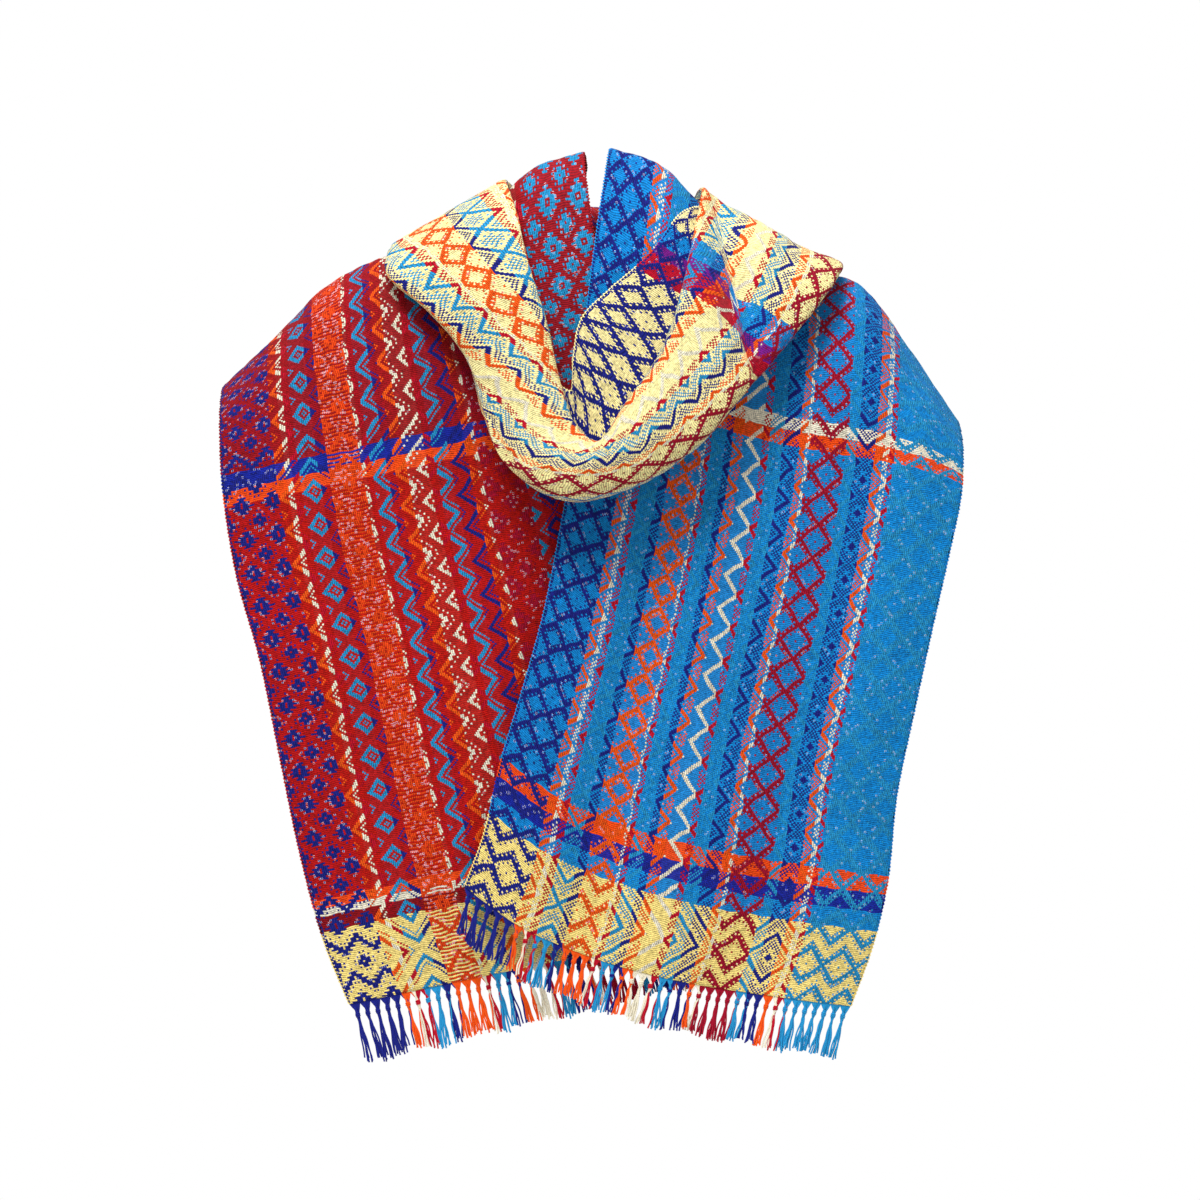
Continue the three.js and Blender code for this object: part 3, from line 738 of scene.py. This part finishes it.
def cloth_shell(stretch, grid, normals, u, v):
    """A thin closed shell of cloth with rounded edges, on the stretch's own form."""
    rows, columns = u.shape
    half = WALL / 2
    # Yarn, pick and side of the cloth: 1 where the normals point, 0 on the other
    place = np.stack([u / WARP_PITCH + sway(u, v), v / PICK_PITCH + sway(v, u + 70),
                      np.ones_like(u)], -1)
    other = place.copy()
    other[..., 2] = 0
    points = [*(grid + normals * half).reshape(-1, 3), *(grid - normals * half).reshape(-1, 3)]
    cloth = [*place.reshape(-1, 3), *other.reshape(-1, 3)]
    at = np.arange(rows * columns).reshape(rows, columns)
    a, b, c, d = at[:-1, :-1], at[1:, :-1], at[1:, 1:], at[:-1, 1:]
    faces = np.stack([a, b, c, d], -1).reshape(-1, 4).tolist()
    faces += (np.stack([a, d, c, b], -1).reshape(-1, 4) + rows * columns).tolist()
    rim = [*at[0], *at[1:, -1], *at[-1, -2::-1], *at[-2:0:-1, 0]]
    flat = grid.reshape(-1, 3)
    flat_place = place.reshape(-1, 3)
    middle = []
    for i in rim:
        r, s = divmod(i, columns)
        inner = flat[at[min(max(r, 1), rows - 2), min(max(s, 1), columns - 2)]]
        outward = unit(flat[i] - inner)
        middle.append(len(points))
        points.append(flat[i] + outward * (half * RIM_ROUND if s in (0, columns - 1) else 0))
        cloth.append(flat_place[i])
    for k, i in enumerate(rim):
        j, m, n = rim[(k + 1) % len(rim)], middle[k], middle[(k + 1) % len(rim)]
        faces.append([i, j, n, m])
        faces.append([m, n, j + rows * columns, i + rows * columns])
    name = stretch + "_cloth"
    mesh = in_metres(name, points, [], faces, "cloth", "FLOAT_VECTOR", cloth)
    mesh.materials.append(woven(stretch))
    mesh.shade_smooth()
    return show(name, mesh)


# ---------------------------------------------------------------- yarns
YARN_SIDES = 5
FRINGE_YARN = 0.52
SELVEDGE_YARN = 0.5


def yarn_tubes():
    """The tree that turns drawn lines into round yarns."""
    tree = bpy.data.node_groups.new("yarn_tubes", "GeometryNodeTree")
    face = tree.interface
    face.new_socket("Lines", in_out="INPUT", socket_type="NodeSocketGeometry")
    face.new_socket("Yarn radius", in_out="INPUT", socket_type="NodeSocketFloat")
    face.new_socket("Sides", in_out="INPUT", socket_type="NodeSocketInt")
    face.new_socket("Yarn", in_out="INPUT", socket_type="NodeSocketMaterial")
    face.new_socket("Yarns", in_out="OUTPUT", socket_type="NodeSocketGeometry")
    given = tree.nodes.new("NodeGroupInput").outputs
    line = node(tree, "GeometryNodeMeshToCurve", {}, {"Mesh": given["Lines"]})
    ring = node(tree, "GeometryNodeCurvePrimitiveCircle", {},
                {"Resolution": given["Sides"], "Radius": given["Yarn radius"]})
    tube = node(tree, "GeometryNodeCurveToMesh", {},
                {"Curve": line, "Profile Curve": ring, "Fill Caps": True})
    real = node(tree, "GeometryNodeRealizeInstances", {}, {"Geometry": tube})
    dressed = node(tree, "GeometryNodeSetMaterial", {},
                   {"Geometry": real, "Material": given["Yarn"]})
    tree.links.new(dressed.socket, tree.nodes.new("NodeGroupOutput").inputs[0])
    return tree


def lay_yarns(name, tree, paths, radius, material):
    """Draws each path as a line of points in its dye, and makes it a round yarn."""
    points, edges, dyes = [], [], []
    for path, colour in paths:
        edges += [(len(points) + i, len(points) + i + 1) for i in range(len(path) - 1)]
        points += list(path)
        dyes += [(*colour, 1)] * len(path)
    drawn = show(name + "_lines", in_metres(name + "_lines", points, edges, [], "dye",
                                            "FLOAT_COLOR", dyes))
    modifier = drawn.modifiers.new("yarns", "NODES")
    modifier.node_group = tree
    inputs = {item.name: item.identifier for item in tree.interface.items_tree}
    modifier[inputs["Yarn radius"]] = radius / MM_IN_METRE
    modifier[inputs["Sides"]] = YARN_SIDES
    modifier[inputs["Yarn"]] = material
    evaluated = drawn.evaluated_get(bpy.context.evaluated_depsgraph_get())
    mesh = bpy.data.meshes.new_from_object(evaluated)
    bpy.data.objects.remove(drawn)
    mesh.shade_smooth()
    return show(name, mesh)


BUNDLES = 40
STRANDS = 8
STRIP_DEPTH = 2.6
HANG = 0.35
KNOT_AT = 0.13
KNOT_RADIUS = 0.75
COIL_TURNS = 2.6
# Lengths at the navy and the turquoise selvedge, and a seed
RED_FRINGE = (34, 28), 11
BLUE_FRINGE = (25, 29), 23


def fringe_paths(hem, inside, lengths, seed):
    """Strands from the hem into a knot and loose below it, and the turns of each knot."""
    rng = np.random.default_rng(seed)
    columns = np.arange(len(hem))
    hang = unit(lerp(unit(hem - inside), [0, 0, -1], HANG))

    def at(values, u):
        return np.array([np.interp(u * columns[-1], columns, values[:, k]) for k in range(3)])

    paths = []
    for i in range(BUNDLES):
        u = (i + 0.5) / BUNDLES
        down, root = unit(at(hang, u)), at(hem, u)
        side = unit(at(hem, min(u + 0.01, 1)) - at(hem, max(u - 0.01, 0)))
        front = unit(np.cross(down, side))
        side = np.cross(front, down)
        length = (lengths[0] + (lengths[1] - lengths[0]) * u) * (1 + 0.05 * math.sin(7.3 * i))
        knot = SEAM_GAP + STRIP_DEPTH + KNOT_AT * length
        lean, swing = rng.normal(0, 0.035), rng.normal(0, 0.03)
        centre = root + down * knot
        for k in range(STRANDS):
            share = (k + 0.5) / STRANDS - 0.5
            start_u = u + share / BUNDLES
            start = at(hem, min(max(start_u, 0.001), 0.999))
            turn = 2 * math.pi * k / STRANDS + rng.uniform(0, 0.8)
            in_knot = (side * math.cos(turn) * KNOT_RADIUS
                       + front * math.sin(turn) * KNOT_RADIUS)
            tip = length * rng.uniform(0.9, 1.03)
            fan = share * 5.6 + rng.normal(0, 0.5)
            bulk = rng.normal(0, 0.6)
            curl, phase = rng.uniform(0.15, 0.5), rng.uniform(0, 6.3)
            drawn = [start - down * 1.2, start + down * 0.6,
                     lerp(start + down * (knot - 2.2), centre - down * 2.2, 0.8) + in_knot * 0.8,
                     centre + in_knot, centre + down * 1.8 + in_knot * 0.8]
            for part in np.linspace(0.12, 1, 7):
                far = (tip - 1.8 - KNOT_AT * length) * part + 1.8
                wavy = curl * math.sin(phase + part * 9)
                drawn.append(centre + down * far
                             + side * (fan * part ** 0.8 + wavy + lean * far)
                             + front * (bulk * part + 0.5 * curl * math.cos(phase + part * 7)
                                        + swing * far * 0.5))
            colour = warp_dye(start_u * WIDTH)
            paths.append((smooth_line(np.array(drawn), 2), colour))
        colour = warp_dye((u + 0.2 / BUNDLES) * WIDTH)
        turns = np.linspace(0, 2 * np.pi * COIL_TURNS, 24)
        coil = [centre + down * (-1.2 + 2.4 * q / turns[-1])
                + (side * math.cos(q + i) + front * math.sin(q + i))
                * (1.25 - 0.3 * abs(q / turns[-1] - 0.5))
                for q in turns]
        paths.append((np.array(coil), colour))
    return paths


def selvedge_paths(grid, normals, v, column):
    """The small loops where the weft turns back at a selvedge, one for each two picks."""
    weft_pitch = 2 * PICK_PITCH
    inner = column + (1 if column == 0 else -1)
    edge, inside = grid[:, column], grid[:, inner]
    far = np.concatenate([[0], np.cumsum(np.linalg.norm(np.diff(edge, axis=0), axis=1))])
    paths = []
    count = int(far[-1] / weft_pitch)

    def at(values, where):
        return np.array([np.interp(where, far, values[:, k]) for k in range(3)])

    for i in range(count):
        here = (i + 0.5) * weft_pitch
        root = at(edge, here)
        outward = unit(root - at(inside, here))
        forward = unit(at(edge, here + 0.5) - at(edge, here - 0.5))
        lift = at(normals[:, column], here) * 0.45
        reach = 0.75 + 0.35 * math.sin(i * 2.399) ** 2
        shape = [(-0.9, -0.6, -1), (0.35, -0.55, -0.6), (reach * 0.8, 0, 0), (0.35, 0.55, 0.6),
                 (-0.9, 0.6, 1)]
        path = [root + outward * a + forward * b * weft_pitch * 0.55 + lift * c
                for a, b, c in shape]
        paths.append((np.array(path), weft_dye(float(np.interp(here, far, v[:, column])))))
    return paths


# ---------------------------------------------------------------- dressing the solids
yarn_tree = yarn_tubes()
loose_yarn = spun("loose_yarn")
grids = {stretch: cloth_grid(stretch) for stretch in STRETCHES}
cloths = {stretch: cloth_shell(stretch, *grids[stretch]) for stretch in STRETCHES}

edges = {}
for stretch, (grid, normals, u, v) in grids.items():
    paths = selvedge_paths(grid, normals, v, 0)
    paths += selvedge_paths(grid, normals, v, grid.shape[1] - 1)
    edges[stretch] = lay_yarns(stretch + "_selvedges", yarn_tree, paths, SELVEDGE_YARN, loose_yarn)

grid = grids["red_end"][0]
red_paths = fringe_paths(grid[0], grid[ROWS // 2], *RED_FRINGE)
grid = grids["blue_end"][0]
blue_paths = fringe_paths(grid[-1], grid[-1 - ROWS // 2], *BLUE_FRINGE)
red_fringe = lay_yarns("red_fringe_yarns", yarn_tree, red_paths, FRINGE_YARN, loose_yarn)
blue_fringe = lay_yarns("blue_fringe_yarns", yarn_tree, blue_paths, FRINGE_YARN, loose_yarn)

for stretch, shell in cloths.items():
    for piece in (shell, edges[stretch]):
        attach(piece, "root")
    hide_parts(stretch)
for piece, replaced, slot in ((red_fringe, "red_fringe", "red_fringe_yarn"),
                              (blue_fringe, "blue_fringe", "blue_fringe_yarn")):
    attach(piece, "root")
    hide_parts(replaced)


# ---------------------------------------------------------------- floor, light and camera
FLOOR_RADIUS, FLOOR_HEIGHT, FLOOR_SIDES = 0.95, -0.70, 96
floor_mesh = bpy.data.meshes.new("studio_floor")
turn = np.linspace(0, 2 * np.pi, FLOOR_SIDES, endpoint=False)
floor_mesh.from_pydata([(FLOOR_RADIUS * math.cos(a), FLOOR_RADIUS * math.sin(a), FLOOR_HEIGHT)
                        for a in turn], [], [list(range(FLOOR_SIDES))])
floor = show("studio_floor", floor_mesh)
pale = bpy.data.materials.new("pale_floor")
pale.use_nodes = True
pale_tree = pale.node_tree
pale_grain = noise(pale_tree, node(pale_tree, "ShaderNodeTexCoord", {}, out=3), 3.0, 2.0)
pale_colour = blend(pale_tree, pale_grain, (0.82, 0.82, 0.82), (0.86, 0.86, 0.85))
pale_shader = pale_tree.nodes["Principled BSDF"]
pale_tree.links.new(pale_colour.socket, pale_shader.inputs["Base Color"])
pale_shader.inputs["Roughness"].default_value = 0.9
floor_mesh.materials.append(pale)

world = bpy.data.worlds.new("studio_white")
world.use_nodes = True
sky = world.node_tree
sky.nodes["Background"].inputs[0].default_value = (1, 1, 1, 1)
height = node(sky, "ShaderNodeSeparateXYZ", {}, {0: node(sky, "ShaderNodeTexCoord")}, out=2)
backdrop = node(sky, "ShaderNodeLightPath")
soft = 0.48 + height * 0.36
glow = soft + backdrop * (1 - soft)
sky.links.new(glow.socket, sky.nodes["Background"].inputs[1])
bpy.context.scene.world = world


def soft_light(name, place, aim, size, power):
    data = bpy.data.lights.new(name, "AREA")
    data.shape, data.size, data.energy = "DISK", size, power
    light = show(name, data)
    light.location = place
    light.rotation_euler = (Vector(aim) - Vector(place)).to_track_quat("-Z", "Y").to_euler()


soft_light("key", (-0.45, -1.25, 1.6), (0, 0, -0.15), 0.8, 41)
soft_light("top", (0.1, -0.3, 1.6), (0, 0, 0), 0.7, 8)

# The frame is 0.7284 m wide at 6.95 m, just in front of the cloth
SENSOR, VIEW_WIDTH, VIEW_AWAY = 36, 0.7284, 6.95
camera_data = bpy.data.cameras.new("camera")
camera_data.sensor_width = SENSOR
camera_data.lens = SENSOR * VIEW_AWAY / VIEW_WIDTH
camera = show("camera", camera_data)
camera.location = (0.0049, -7.0, -0.2064)
camera.rotation_euler = (math.pi / 2, 0, 0)
bpy.context.scene.camera = camera
bpy.context.scene.view_settings.view_transform = "Standard"
